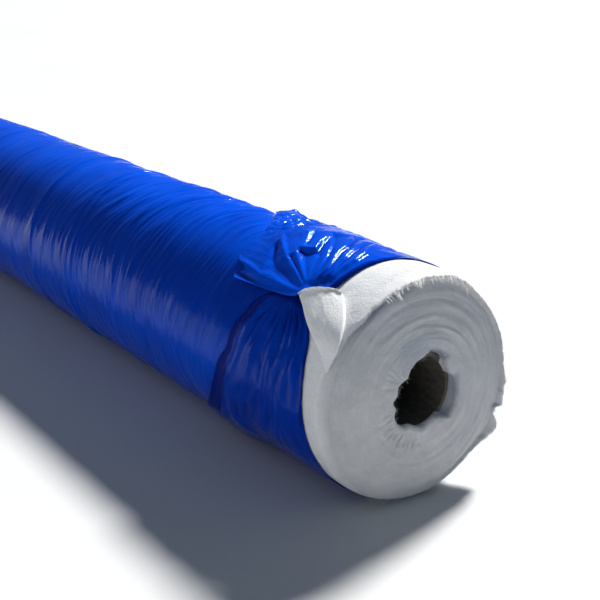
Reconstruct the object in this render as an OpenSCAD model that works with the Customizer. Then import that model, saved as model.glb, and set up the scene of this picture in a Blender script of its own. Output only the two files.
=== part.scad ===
// Geotextile membrane roll: nonwoven felt wound on a cardboard core and wrapped in film.
// Millimetres. The roll lies along X on the plane z = 0, its opened end towards +X.
// The film is open at that end, turned back on itself as a cuff and bunched at one place;
// at the other end it is folded in over the felt.

/* [Felt] */
// Width of the fabric, which is the length of the roll
felt_w = 2250; // [1000:50:4500]
// Outside diameter of the wound felt
felt_d = 312; // [240:2:480]
// How far the inner turns stand out of the opened end
end_bulge = 16; // [4:1:30]
// Radius at which the outer turns round over at the ends
edge_r = 14; // [6:1:24]
// Bands of turns that can be told apart on an end
turn_bands = 9; // [4:1:14]
// Depth of the grooves between those bands
turn_depth = 1.8; // [0.4:0.2:4]

/* [Core] */
// Inside diameter of the cardboard core
core_id = 100; // [76:1:120]
// Wall of the cardboard core
core_wall = 5; // [3:0.5:10]
// How far the ends of the core lie inside the ends of the felt
core_inset = 2; // [0:1:60]

/* [Wrap] */
// Build-up of the wrapped film over the felt
wrap_t = 2.5; // [1.5:0.5:5]
// From the opened end to the edge of the film, at the sides
wrap_edge = 42; // [30:1:70]
// From the opened end to the edge of the film, at the top
wrap_edge_top = 84; // [72:1:120]
// Width of the film that stays on the folded-in end
fold_in = 96; // [30:1:98]

/* [Cuff] */
// Distance that the film is turned back, from the side edge
cuff_len = 215; // [100:5:300]
// Build-up of the turned-back cuff over the wrap, at the sides
cuff_t = 4; // [3:0.5:8]
// How much higher than the roll the cuff sits
cuff_lift = 5; // [4.5:0.5:12]

/* [Gather] */
// Angle of the bunched film, from the top towards -Y
gather_angle = 38; // [20:1:60]
// Distance of the bunched film from the opened end
gather_in = 132; // [110:1:180]
// How far the bunched film stands out of the cuff
gather_h = 14; // [6:1:24]

/* [Hidden] */
$fn = 96;

slip = 0.2;                          // room between felt and core, and between felt and film
felt_r = felt_d / 2;
core_r = core_id / 2 + core_wall;
bore_r = core_r + slip;
wrap_r = felt_r + slip + wrap_t;     // outside of the wrapped roll
axis_z = wrap_r;                     // the wrapped roll rests on z = 0
cuff_r = wrap_r + cuff_t;

face_r = felt_r - edge_r;            // where the end face starts to round over
band_w = (face_r - bore_r) / turn_bands;

// Height of the opened end over its rim, a pillow that is highest beside the bore
function pillow(r) = end_bulge * sin(90 * min(1, (face_r - r) / (face_r - bore_r - band_w / 2)));

// Across an end from the bore outwards: a crest on each band, a groove between two bands
function turns(h0, sign, bulged) = [
    for (k = [0 : turn_bands - 1], j = [0, 1])
        let (r = bore_r + (k + j / 2) * band_w)
        [r, h0 + sign * ((bulged ? pillow(r) : 0) - (j == 0 ? turn_depth : 0))]
];

// Quarter round of radius q about [r, h], from angle a0 to a1
function quarter(r, h, q, a0, a1, n = 6) = [
    for (i = [0 : n]) let (a = a0 + (a1 - a0) * i / n) [r + q * cos(a), h + q * sin(a)]
];

function backwards(list) = [for (i = [len(list) - 1 : -1 : 0]) list[i]];

// The box of the part is centred on x = 0: its near end is the highest crest, its far end the film
near_max = max([for (p = turns(0, 1, true)) p[1]]);
near_x = felt_w / 2 - (near_max - slip - wrap_t) / 2;    // rim plane of the opened end
far_x = near_x - felt_w;                                 // plane of the folded-in end

// Turns a profile of [radius, x] about the roll's axis
module turned(profile) {
    translate([0, 0, axis_z]) rotate([0, 90, 0]) rotate_extrude() polygon(profile);
}

// Along the roll's axis from x0 to x1, with its axis raised by lift
module along(x0, x1, r, lift = 0) {
    translate([x0, 0, axis_z + lift]) rotate([0, 90, 0]) cylinder(h = x1 - x0, r = r);
}

// Everything inside the film: the felt's outline, grown by g, without its bore
module felt_space(g) {
    turned(concat(
        [[0, far_x - g]],
        quarter(face_r, far_x + edge_r, edge_r + g, -90, 0),
        [[felt_r + g, near_x + 50], [0, near_x + 50]]
    ));
}

// What the film leaves open at the opened end: square at the sides, slanting back over the top
module wrap_mouth() {
    z1 = axis_z + felt_r * cos(75);
    z2 = axis_z + felt_r;
    lean = (wrap_edge_top - wrap_edge) / (z2 - z1);
    top = axis_z + 2 * felt_r;
    rotate([90, 0, 0]) linear_extrude(height = 4 * felt_r, center = true) polygon([
        [near_x - wrap_edge, -felt_r],
        [near_x - wrap_edge, z1],
        [near_x - wrap_edge - lean * (top - z1), top],
        [near_x + 100, top],
        [near_x + 100, -felt_r]
    ]);
}

module geotextile_roll() {
    color([0.87, 0.88, 0.88]) turned(concat(
        turns(near_x, 1, true),
        quarter(face_r, near_x - edge_r, edge_r, 90, 0),
        quarter(face_r, far_x + edge_r, edge_r, 0, -90),
        backwards(turns(far_x, -1, false))
    ));
}

module core_tube() {
    color([0.50, 0.38, 0.26]) difference() {
        along(far_x + core_inset, near_x - core_inset, core_r);
        along(far_x, near_x, core_id / 2);
    }
}

module wrap_film() {
    color([0.02, 0.16, 0.66]) difference() {
        union() {
            felt_space(slip + wrap_t);
            along(near_x - wrap_edge - cuff_len, near_x + 40, cuff_r, cuff_lift);
            translate([near_x - gather_in, 0, axis_z])
                rotate([gather_angle, 0, 0])
                    translate([0, 0, felt_r - 20])
                        cylinder(h = cuff_r + cuff_lift + gather_h - felt_r + 20, r1 = 62, r2 = 9);
        }
        felt_space(slip);
        wrap_mouth();
        along(far_x - 50, far_x + 50, felt_r - fold_in);
    }
}

geotextile_roll();
core_tube();
wrap_film();
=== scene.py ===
import math

import bpy
import numpy as np
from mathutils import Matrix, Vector
from mathutils.geometry import delaunay_2d_cdt


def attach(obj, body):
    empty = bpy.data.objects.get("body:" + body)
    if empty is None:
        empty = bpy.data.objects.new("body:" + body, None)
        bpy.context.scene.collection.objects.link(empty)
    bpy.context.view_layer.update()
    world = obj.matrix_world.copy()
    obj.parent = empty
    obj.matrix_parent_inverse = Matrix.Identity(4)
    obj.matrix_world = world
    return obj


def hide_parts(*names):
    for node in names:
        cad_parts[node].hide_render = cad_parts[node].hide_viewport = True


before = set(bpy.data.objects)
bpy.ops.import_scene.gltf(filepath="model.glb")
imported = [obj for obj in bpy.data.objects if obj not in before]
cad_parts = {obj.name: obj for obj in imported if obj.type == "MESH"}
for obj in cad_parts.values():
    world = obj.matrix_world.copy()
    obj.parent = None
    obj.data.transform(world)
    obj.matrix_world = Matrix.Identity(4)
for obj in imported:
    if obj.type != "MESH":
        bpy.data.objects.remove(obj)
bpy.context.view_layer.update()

# Metres. The roll's axis lies along X at height ZC. XN is the rim plane of the opened end and
# XF the plane of the folded-in end. s is x - XN, and angles go from the top towards -Y.
XN, XF, ZC = 1.11835, -1.13165, 0.1587
R_FELT, R_FILM = 0.156, 0.1590
LAP = 205.0
rng = np.random.default_rng(41)


# ---------------------------------------------------------------- numbers and meshes


def smooth(a, b, x):
    t = np.clip((np.asarray(x, float) - a) / (b - a), 0, 1)
    return t * t * (3 - 2 * t)


def bump(c, w, x):
    """1 at c, falling to 0 at a distance w."""
    return 1 - smooth(0, w, np.abs(np.asarray(x, float) - c))


def around(c, w, a):
    """bump() on an angle in degrees."""
    return 1 - smooth(0, w, np.abs((np.asarray(a, float) - c + 180) % 360 - 180))


def curve(x, pairs):
    """A smooth line through (x, y) pairs that doesn't overshoot them."""
    xs, ys = np.array(pairs, float).T
    h = np.diff(xs)
    d = np.diff(ys) / h
    m = np.zeros(len(xs))
    m[0], m[-1] = d[0], d[-1]
    same = d[:-1] * d[1:] > 0
    m[1:-1][same] = (2 * d[:-1] * d[1:])[same] / (d[:-1] + d[1:])[same]
    x = np.clip(np.asarray(x, float), xs[0], xs[-1])
    i = np.clip(np.searchsorted(xs, x, side="right") - 1, 0, len(h) - 1)
    t = (x - xs[i]) / h[i]
    return (
        (2 * t**3 - 3 * t**2 + 1) * ys[i]
        + (t**3 - 2 * t**2 + t) * h[i] * m[i]
        + (3 * t**2 - 2 * t**3) * ys[i + 1]
        + (t**3 - t**2) * h[i] * m[i + 1]
    )


def ring_curve(a, pairs):
    """curve() on an angle in degrees: the pairs run from 0 up to less than 360."""
    p = [(x, y) for x, y in pairs]
    return curve(
        np.asarray(a, float) % 360,
        [(x - 360, y) for x, y in p[-3:]] + p + [(x + 360, y) for x, y in p[:3]],
    )


def chance(ix, iy, seed):
    with np.errstate(over="ignore"):
        h = (
            ix.astype(np.int64) * 374761393
            + iy.astype(np.int64) * 668265263
            + seed * 1442695041
        ) & 0xFFFFFFFF
        h = ((h ^ (h >> 13)) * 1274126177) & 0xFFFFFFFF
        h = ((h ^ (h >> 15)) * 2246822519) & 0xFFFFFFFF
        return (h ^ (h >> 16)) / 4294967296.0


def noise(x, y, seed=0, py=0):
    """Gradient noise, about -1 to 1. With py it repeats after py in y."""
    x, y = np.broadcast_arrays(np.asarray(x, float), np.asarray(y, float))
    ix, iy = np.floor(x), np.floor(y)
    fx, fy = x - ix, y - iy
    ux, uy = (
        fx**3 * (fx * (6 * fx - 15) + 10),
        fy**3 * (fy * (6 * fy - 15) + 10),
    )

    def corner(dx, dy):
        jy = iy + dy
        if py:
            jy = jy % py
        a = 2 * math.pi * chance(ix + dx, jy, seed)
        return np.cos(a) * (fx - dx) + np.sin(a) * (fy - dy)

    low = corner(0, 0) * (1 - ux) + corner(1, 0) * ux
    high = corner(0, 1) * (1 - ux) + corner(1, 1) * ux
    return 1.5 * (low * (1 - uy) + high * uy)


def ridges(n, sharp=1.0):
    """Noise folded into sharp crests, 0 to 1."""
    return np.clip(1 - np.abs(n) * 1.6, 0, 1) ** sharp


def cells(x, y, seed=0):
    """Distances to the nearest and second nearest of points strewn one to a unit square."""
    ix, iy = np.floor(x), np.floor(y)
    near = np.full(np.shape(x), 9.0)
    next_ = np.full(np.shape(x), 9.0)
    for dx in (-1, 0, 1):
        for dy in (-1, 0, 1):
            jx, jy = ix + dx, iy + dy
            d = np.hypot(
                jx + chance(jx, jy, seed) - x, jy + chance(jx, jy, seed + 77) - y
            )
            next_ = np.minimum(next_, np.maximum(near, d))
            near = np.minimum(near, d)
    return near, next_


def place(s, a, r):
    """Points at s along the roll, at angle a in degrees and radius r."""
    s, a, r = np.broadcast_arrays(s, np.radians(a), r)
    return np.stack([XN + s, -r * np.sin(a), ZC + r * np.cos(a)], -1)


def make(name, points, faces, material, flat=None, **values):
    """A mesh of quads or triangles from arrays, smooth shaded. flat is its cloth's own coordinates,
    and values are numbers for each point that its material reads."""
    me = bpy.data.meshes.new(name)
    points = np.asarray(points, np.float32).reshape(-1, 3)
    faces = np.asarray(faces, np.int32)
    n, k = faces.shape
    me.vertices.add(len(points))
    me.vertices.foreach_set("co", points.ravel())
    me.loops.add(n * k)
    me.loops.foreach_set("vertex_index", faces.ravel())
    me.polygons.add(n)
    me.polygons.foreach_set("loop_start", np.arange(0, n * k, k, dtype=np.int32))
    me.update(calc_edges=True)
    me.polygons.foreach_set("use_smooth", np.ones(n, bool))
    if flat is not None:
        at = me.attributes.new("flat", "FLOAT_VECTOR", "POINT")
        at.data.foreach_set("vector", np.asarray(flat, np.float32).reshape(-1))
    for key, each in values.items():
        at = me.attributes.new(key, "FLOAT", "POINT")
        at.data.foreach_set("value", np.asarray(each, np.float32).reshape(-1))
    me.validate()
    me.materials.append(material)
    o = bpy.data.objects.new(name, me)
    bpy.context.scene.collection.objects.link(o)
    return o


def grid_faces(n, m, closed=False, flip=False, start=0):
    i, j = np.meshgrid(
        np.arange(n - 1), np.arange(m if closed else m - 1), indexing="ij"
    )
    k = (j + 1) % m
    f = np.stack([i * m + j, (i + 1) * m + j, (i + 1) * m + k, i * m + k], -1)
    f = f.reshape(-1, 4) + start
    return f[:, ::-1] if flip else f


# ---------------------------------------------------------------- materials


class Nodes:
    def __init__(self, name):
        self.mat = bpy.data.materials.new(name)
        self.mat.use_nodes = True
        self.t = self.mat.node_tree
        self.shader = self.t.nodes["Principled BSDF"]

    def add(self, kind, **values):
        n = self.t.nodes.new(kind)
        for k, v in values.items():
            if k in n.inputs:
                n.inputs[k].default_value = v
            else:
                setattr(n, k, v)
        return n

    def link(self, a, b):
        self.t.links.new(a, b)

    def flat(self, x, y, z=1.0):
        """The cloth's own coordinates, in metres, times x, y and z."""
        at = self.add("ShaderNodeAttribute", attribute_name="flat")
        m = self.add("ShaderNodeVectorMath", operation="MULTIPLY")
        m.inputs[1].default_value = (x, y, z)
        self.link(at.outputs["Vector"], m.inputs[0])
        return m.outputs["Vector"]

    def object(self, scale):
        at = self.add("ShaderNodeTexCoord")
        m = self.add("ShaderNodeVectorMath", operation="MULTIPLY")
        m.inputs[1].default_value = (
            scale if hasattr(scale, "__len__") else (scale,) * 3
        )
        self.link(at.outputs["Object"], m.inputs[0])
        return m.outputs["Vector"]

    def noise(self, at, detail=2.0, rough=0.5, distort=0.0):
        n = self.add(
            "ShaderNodeTexNoise",
            Scale=1.0,
            Detail=detail,
            Roughness=rough,
            Distortion=distort,
        )
        self.link(at, n.inputs["Vector"])
        return n.outputs["Fac"]

    def mixed(self, key, a, b):
        """Colour a, turning to colour b with the points' value named key."""
        at = self.add("ShaderNodeAttribute", attribute_name=key)
        m = self.add("ShaderNodeMix", data_type="RGBA")
        self.link(at.outputs["Fac"], m.inputs[0])
        for c, socket in ((a, m.inputs[6]), (b, m.inputs[7])):
            if isinstance(c, tuple):
                socket.default_value = (*c, 1)
            else:
                self.link(c, socket)
        return m.outputs[2]

    def ramp(self, value, stops):
        n = self.add("ShaderNodeValToRGB")
        e = n.color_ramp.elements
        while len(e) < len(stops):
            e.new(0.5)
        for el, (p, c) in zip(e, stops):
            el.position = p
            el.color = (*c, 1) if len(c) == 3 else c
        self.link(value, n.inputs["Fac"])
        return n.outputs["Color"]

    def spread(self, value, low, high):
        n = self.add("ShaderNodeMapRange")
        n.inputs["To Min"].default_value = low
        n.inputs["To Max"].default_value = high
        self.link(value, n.inputs["Value"])
        return n.outputs["Result"]

    def bump(self, height, distance, strength=1.0, under=None):
        n = self.add("ShaderNodeBump", Strength=strength, Distance=distance)
        self.link(height, n.inputs["Height"])
        if under is not None:
            self.link(under, n.inputs["Normal"])
        return n.outputs["Normal"]


def film_material():
    k = Nodes("film_blue")
    b = k.shader
    b.inputs["IOR"].default_value = 1.5
    b.inputs["Metallic"].default_value = 0.05
    b.inputs["Specular IOR Level"].default_value = 0.07
    b.inputs["Specular Tint"].default_value = (0.05, 0.65, 1.0, 1)
    cloud = k.noise(k.flat(9, 9), 3, 0.6)
    blue = k.ramp(
        cloud,
        [
            (0.25, (0.0004, 0.052, 0.50)),
            (0.5, (0.0006, 0.068, 0.62)),
            (0.8, (0.001, 0.086, 0.72)),
        ],
    )
    # painted shade: where the deep value is high the film turns a deeper blue, standing in for shade
    k.link(k.mixed("deep", blue, (0.0002, 0.009, 0.18)), b.inputs["Base Color"])
    haze = k.noise(k.flat(60, 14), 3, 0.6)
    dull = k.add("ShaderNodeMath", operation="MULTIPLY_ADD")
    at = k.add("ShaderNodeAttribute", attribute_name="dull")
    dull.inputs[1].default_value = 0.45
    k.link(at.outputs["Fac"], dull.inputs[0])
    k.link(k.spread(haze, 0.08, 0.18), dull.inputs[2])
    k.link(dull.outputs[0], b.inputs["Roughness"])
    streaks = k.noise(k.flat(210, 24), 3, 0.62, 0.6)
    fine = k.noise(k.flat(620, 120), 2, 0.5, 0.3)
    n = k.bump(streaks, 0.0010, 0.5)
    n = k.bump(fine, 0.0003, 0.4, n)
    k.link(n, b.inputs["Normal"])
    return k.mat


def felt_material(name, ends, outside):
    """Felt whose "outside" attribute tells the outside of a turn, 1, from the ends of the turns, 0."""
    k = Nodes(name)
    b = k.shader
    b.inputs["Roughness"].default_value = 0.92
    b.inputs["Specular IOR Level"].default_value = 0.25
    b.inputs["Sheen Weight"].default_value = 0.25
    b.inputs["Sheen Roughness"].default_value = 0.5
    tone = k.noise(k.object(70), 6, 0.72)
    blot = k.noise(k.object(24), 3, 0.6)
    both = k.add("ShaderNodeMath", operation="MULTIPLY_ADD")
    both.inputs[1].default_value = 0.55
    k.link(blot, both.inputs[0])
    half = k.add("ShaderNodeMath", operation="MULTIPLY")
    half.inputs[1].default_value = 0.45
    k.link(tone, half.inputs[0])
    k.link(half.outputs[0], both.inputs[2])

    def shades(value, three, warm):
        return k.ramp(
            value,
            [
                (at, (c * warm[0], c * warm[1], c * warm[2]))
                for at, c in zip((0.36, 0.5, 0.64), three)
            ],
        )

    # the ends' colour is partly painted shade and the outside's paler colour partly painted light
    unshaded_tone = k.mixed(
        "outside",
        shades(both.outputs[0], ends, (1.0, 1.008, 1.012)),
        shades(both.outputs[0], outside, (1.0, 0.996, 0.985)),
    )
    # painted shade: the deep value mixes in a bluish grey where the end lies in shade, in its grooves and round the
    # core
    k.link(k.mixed("deep", unshaded_tone, (0.36, 0.40, 0.47)), b.inputs["Base Color"])
    grain = k.noise(k.object(520), 3, 0.7)
    tuft = k.noise(k.object(170), 2, 0.5)
    n = k.bump(tuft, 0.0014, 0.5)
    n = k.bump(grain, 0.0017, 0.85, n)
    k.link(n, b.inputs["Normal"])
    return k.mat


def board_material():
    k = Nodes("core_cardboard")
    b = k.shader
    b.inputs["Roughness"].default_value = 0.9
    b.inputs["Specular IOR Level"].default_value = 0.2
    fibre = k.noise(k.object((60, 160, 160)), 4, 0.65)
    # The cardboard's brown, made darker than the paper's own as painted shade for the inside of the bore
    k.link(
        k.ramp(
            fibre,
            [
                (0.3, (0.068, 0.061, 0.052)),
                (0.55, (0.104, 0.094, 0.080)),
                (0.8, (0.136, 0.124, 0.104)),
            ],
        ),
        b.inputs["Base Color"],
    )
    # The paper is wound in a spiral, so its seams run round as steps along the tube.
    at = k.add("ShaderNodeTexCoord")
    split = k.add("ShaderNodeSeparateXYZ")
    k.link(at.outputs["Object"], split.inputs[0])
    up = k.add("ShaderNodeMath", operation="SUBTRACT")
    up.inputs[1].default_value = ZC
    k.link(split.outputs["Z"], up.inputs[0])
    turn = k.add("ShaderNodeMath", operation="ARCTAN2")
    k.link(split.outputs["Y"], turn.inputs[0])
    k.link(up.outputs[0], turn.inputs[1])
    wound = k.add("ShaderNodeMath", operation="MULTIPLY_ADD")
    wound.inputs[1].default_value = 1 / 0.11
    k.link(split.outputs["X"], wound.inputs[0])
    part = k.add("ShaderNodeMath", operation="MULTIPLY")
    part.inputs[1].default_value = 1 / (2 * math.pi)
    k.link(turn.outputs[0], part.inputs[0])
    k.link(part.outputs[0], wound.inputs[2])
    step = k.add("ShaderNodeMath", operation="FRACT")
    k.link(wound.outputs[0], step.inputs[0])
    n = k.bump(step.outputs[0], 0.0008, 0.5)
    n = k.bump(fibre, 0.0005, 0.5, n)
    k.link(n, b.inputs["Normal"])
    return k.mat


FILM, BOARD = film_material(), board_material()
# The felt's cut ends are darker and bluer than the outside of its turns: partly their own look, partly painted shade
# over the end. The paler outside is partly painted light for the roll's shaded side.
FELT = felt_material("felt_white", (0.61, 0.675, 0.735), (0.83, 0.88, 0.92))
# painted light: a paler felt that stands in for light shining through the thin corner and the loose fibres
PAINTED_LIGHT_FELT = felt_material("felt_corner_painted_light", (0.92, 0.95, 0.97), (0.93, 0.96, 0.98))


# ---------------------------------------------------------------- the wound felt

BORE_RIM = [
    (0, 0.051),
    (15, 0.049),
    (30, 0.044),
    (45, 0.037),
    (56, 0.041),
    (67, 0.043),
    (80, 0.041),
    (92, 0.046),
    (105, 0.043),
    (116, 0.049),
    (130, 0.051),
    (143, 0.049),
    (153, 0.043),
    (167, 0.044),
    (180, 0.046),
    (195, 0.044),
    (212, 0.045),
    (219, 0.050),
    (230, 0.062),
    (243, 0.063),
    (258, 0.061),
    (272, 0.059),
    (283, 0.056),
    (294, 0.0495),
    (308, 0.050),
    (315, 0.055),
    (321, 0.0590),
    (331, 0.0605),
    (340, 0.0605),
    (350, 0.057),
]


# The outer turns by angle: how far they lip out over the end, how deep the groove inside that lip
# is, and how far they stand off the round.
LIP = [
    (0, 1.0),
    (20, 1.0),
    (40, 0.95),
    (50, 0.6),
    (66, 0.08),
    (90, 0.0),
    (140, 0.0),
    (165, 0.35),
    (190, 0.6),
    (230, 0.7),
    (262, 0.75),
    (290, 0.7),
    (315, 0.9),
    (340, 1.0),
]
LIP_OUT = [
    (0, 0.0092),
    (10, 0.0078),
    (20, 0.0062),
    (30, 0.0058),
    (38, 0.0064),
    (44, 0.0040),
    (50, 0.0010),
    (66, 0.0),
    (140, 0.0),
    (165, 0.0020),
    (190, 0.0026),
    (262, 0.0026),
    (300, 0.0026),
    (325, 0.0030),
    (340, 0.0062),
    (350, 0.0090),
]
GROOVE = [
    (0, 0.55),
    (15, 0.9),
    (30, 1.0),
    (45, 0.9),
    (60, 0.5),
    (80, 0.0),
    (150, 0.0),
    (175, 0.35),
    (215, 0.5),
    (260, 0.45),
    (300, 0.4),
    (335, 0.4),
]
BULGE = [
    (0, 0.0076),
    (8, 0.0054),
    (18, 0.0028),
    (30, 0.0012),
    (45, 0.0),
    (60, 0.0),
    (230, 0.0),
    (243, 0.0015),
    (262, 0.0005),
    (285, -0.0022),
    (305, -0.0016),
    (320, 0.0008),
    (329, 0.0042),
    (337, 0.0076),
    (345, 0.0088),
    (353, 0.0085),
]
# Low on the far side the outermost turns are torn and stand out at the rim.
TORN = [
    (0, 0.0),
    (215, 0.0),
    (221, 0.0004),
    (224, 0.0017),
    (227, 0.0042),
    (229.6, 0.0066),
    (232.9, 0.0108),
    (235.5, 0.0126),
    (238, 0.0146),
    (241, 0.0132),
    (243, 0.0090),
    (244.4, 0.0040),
    (246, 0.0020),
    (247.8, 0.0018),
    (249.0, 0.0066),
    (250.4, 0.0122),
    (251.6, 0.0116),
    (254.4, 0.0097),
    (258.6, 0.0089),
    (261.5, 0.0090),
    (263.5, 0.0085),
    (267, 0.0061),
    (272, 0.0038),
    (280, 0.0043),
    (287, 0.0045),
    (296, 0.0029),
    (305, 0.0018),
    (313, 0.0),
]


def torn(a):
    t = ring_curve(a, TORN)
    jag = 0.0004 * noise(a / 360 * 150, 0 * a, 67) + 0.0007 * noise(a / 360 * 330, 0 * a + 2, 68)
    return t + jag * smooth(0.004, 0.010, t)


def lip_edge(a):
    """How far the outer turns reach out past the rim plane."""
    jag = 0.8 * noise(a / 360 * 60, 0 * a, 61) + 1.1 * noise(a / 360 * 130, 0 * a + 9, 62)
    jag = jag + 0.6 * noise(a / 360 * 260, 0 * a + 5, 66)
    lip = ring_curve(a, LIP)
    return ring_curve(a, LIP_OUT) + 0.0019 * jag * lip


def felt_bulge(s, a):
    """How far the felt's outside stands off the round, at s behind the rim."""
    along = 0.6 + 0.4 * smooth(-0.010, -0.030, s)
    return ring_curve(a, BULGE) * along * (1 - smooth(-0.05, -0.17, s))


def felt_roll():
    na = 576
    a = np.arange(na) * 360.0 / na
    rim = ring_curve(a, BORE_RIM) + 0.0008 * noise(a / 360 * 70, 0 * a, 3)
    crest = 0.0125 + 0.003 * noise(a / 360 * 9, 0 * a + 4.2, 5, 0)
    lip, groove, off = ring_curve(a, LIP), ring_curve(a, GROOVE), ring_curve(a, BULGE)
    xs, rs = [], []

    # over the core's end, out along a ledge and up the bore's wall to the lip; on one side the core's
    # end lies bare
    bare = smooth(221, 230, a) * (1 - smooth(284, 293, a))
    bare = np.maximum(bare, smooth(312, 321, a) * (1 - smooth(348, 358, a)))
    start = 0.0498 + 0.0056 * bare
    xs.append(-0.0040 - 0.010 * bare)
    rs.append(start)
    for t in np.linspace(0, 1, 9)[:-1]:
        xs.append(-0.0014 - 0.0076 * bare * (1 - t) + (crest - 0.0056) * t**1.7)
        rs.append(start + 0.0001 + (rim + 0.0005 - start) * smooth(-0.1, 0.85, t))
    # the lip, half a turn round
    for t in np.linspace(0, 1, 10):
        phi = math.pi * t
        xs.append(crest - 0.007 + 0.007 * np.sin(phi / 2))
        rs.append(rim + 0.0005 + 0.008 * (1 - np.cos(phi / 2)))
    r_in = rim + 0.0085

    def soft_edge(r):
        return -0.021 * (1 - np.sqrt(np.clip(1 - ((r - 0.129) / 0.0272) ** 2, 0, 1))) * (r > 0.129)

    # the face with its turns
    ring_r = [0.1375, 0.1225, 0.1065, 0.0915, 0.0775]
    for t in np.linspace(0, 1, 66)[1:]:
        r = r_in + (0.1415 - r_in) * t
        pillow = np.sin(np.pi / 2 * np.clip((0.1425 - r) / (0.1425 - 0.066), 0, 1))
        x = 0.0125 * pillow + (crest - 0.0125) * (1 - smooth(0, 0.35, t))
        for i, c in enumerate(ring_r):
            wob = 0.0030 * noise(a / 360 * 4, 0 * a + 3.1 * i, 11 + i, 0)
            amp = 0.45 + 0.55 * smooth(-0.3, 0.5, noise(a / 360 * 4, 0 * a + 7 * i, 31))
            amp = amp * (0.78 + 0.22 * around(-5, 115, a))
            d = (r - c - wob) / 0.0062
            x = x + 0.0020 * amp * np.where(d < 0, np.exp(-d * d * 0.7), np.exp(-d * d * 3))
        x = x + 0.0004 * noise(r * 260, a / 360 * 6, 51, 6) * smooth(0, 0.1, t)
        x = x + 0.0013 * noise(r * 55, a / 360 * 11, 52, 11)
        x = x + 0.0005 * noise(r * 150, a / 360 * 34, 53, 34)
        crease = noise(a / 360 * 34 + 6 * r, r * 16, 57, 0)
        where = np.maximum(around(140, 70, a), 0.55 * around(60, 60, a)) * (
            1 - smooth(0.064, 0.100, r)
        )
        x = x - 0.0024 * where * ridges(crease, 2.0)
        xs.append(x + (1 - lip) * soft_edge(r))
        rs.append(r + 0 * a)
    # the rim: a groove and the outer turns that lip out, or a soft edge where they don't
    tear = torn(a)
    tears = [0 * a] * len(rs)
    lip_x = lip_edge(a)
    prof = [
        (0.1428, -0.3, 0.0, 0.0),
        (0.1440, -1.5, 0.0, 0.0),
        (0.1452, -3.5, 0.0, 0.0),
        (0.1464, -5.5, 0.0, 0.0),
        (0.1475, -7.0, 0.0, 0.0),
        (0.1484, -7.6, 0.0, 0.0),
        (0.1492, -7.2, 0.0, 0.1),
        (0.1500, -5.5, 0.0, 0.35),
        (0.1507, -3.0, 0.0, 0.65),
        (0.1515, -1.0, 0.0, 0.88),
        (0.1525, 0.0, 0.0, 0.98),
        (0.1536, 0.0, 0.0, 1.0),
        (0.1546, 0.0, -0.1, 0.99),
        (0.1553, 0.0, -0.9, 0.93),
        (0.1557, 0.0, -2.4, 0.8),
        (0.1559, 0.0, -4.8, 0.55),
        (0.1560, 0.0, -9.0, 0.2),
    ]
    for r, g, x, w in prof:
        x = (x + g * groove) * 0.001 + lip_x * w
        x = x * lip + soft_edge(r) * (1 - lip)
        lean = np.where(a < 247, 0.40, 0.15) * np.maximum(tear - 0.0050, 0)
        x = x + lean * smooth(0.1500, 0.1540, r) * (1 - smooth(0.1553, 0.1559, r))
        x = x - 0.0030 * smooth(0.005, 0.009, tear) * bump(0.1500, 0.0016, r)
        xs.append(x + 0.0005 * noise(a / 360 * 60, 0 * a + r * 900, 63))
        rs.append(
            r
            + 0.6 * off * smooth(0.1440, 0.1530, r)
            + 0.0005 * noise(a / 360 * 40, 0 * a + r * 700, 64)
        )
        tears.append(tear * smooth(0.1440, 0.1535, r))
    # the outside: fine where it shows, then plain under the film
    for s in np.concatenate([np.linspace(-0.0145, -0.118, 36), [-0.15, -0.2, -0.6, -1.2, -1.8, -2.2]]):
        hid = smooth(-0.10, -0.20, s)
        xs.append(s - 0.0085 * (1 - lip) * (1 - smooth(-0.0145, -0.06, s)) + 0 * a)
        r = R_FELT - 0.0012 * hid + felt_bulge(s, a)
        r = r + (1 - hid) * (
            0.0004 * noise(a / 360 * 22, 0 * a + s * 18, 71)
            + 0.0002 * noise(a / 360 * 70, 0 * a + s * 70, 72)
        )
        rs.append(r)
        tears.append(tear * (1 - smooth(-0.006, -0.042, s)))
    L = XF - XN
    for t in np.linspace(0, 1, 5):
        rs.append(0.1415 + 0.0133 * np.cos(np.pi / 2 * t) + 0 * a)
        xs.append(L + 0.0142 - 0.0133 * np.sin(np.pi / 2 * t) + 0 * a)
    for r in np.linspace(0.135, 0.058, 12):
        rs.append(r + 0 * a)
        xs.append(L + 0.0008 + 0.0016 * ridges(noise(r * 110, a / 360 * 4, 81, 4)))
    for x in (0.0025, 0.010, 0.026):
        rs.append(0.0553 + 0 * a)
        xs.append(L + x + 0 * a)
    X, R = np.array(xs), np.array(rs)
    tears = np.array(tears + [0 * a] * (len(rs) - len(tears)))
    P = place(X, a[None, :], R + tears)
    P[..., 2] = np.maximum(P[..., 2], 0.0012)
    outer = smooth(0.1545 - 0.0135 * (1 - lip), 0.1558, R + 0.6 * np.maximum(tears - 0.005, 0))
    outer = outer * smooth(0.012, -0.002, X)
    # painted shade: a bluish grey in the groove under the lip over the top of the end
    painted_shade = 0.95 * ring_curve(a, GROOVE) * around(20, 66, a) * smooth(0.1320, 0.1445, R) * (1 - smooth(0.1530, 0.1550, R))
    # painted shade: the upper part of the end is darker
    high = smooth(-0.9, 0.7, np.cos(np.radians(a + 20)))
    painted_shade = np.maximum(painted_shade, 0.40 * high * smooth(0.070, 0.115, R) * (1 - smooth(0.1535, 0.1552, R)))
    # painted shade: darker round the core, mostly above it, and over the right of the end
    painted_shade = np.maximum(painted_shade, (0.36 * high + 0.30 * around(15, 60, a)) * (1 - smooth(0.084, 0.097, R)))
    painted_shade = np.maximum(painted_shade, 0.30 * around(232, 48, a) * smooth(0.074, 0.088, R) * (1 - smooth(0.136, 0.146, R)))
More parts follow.
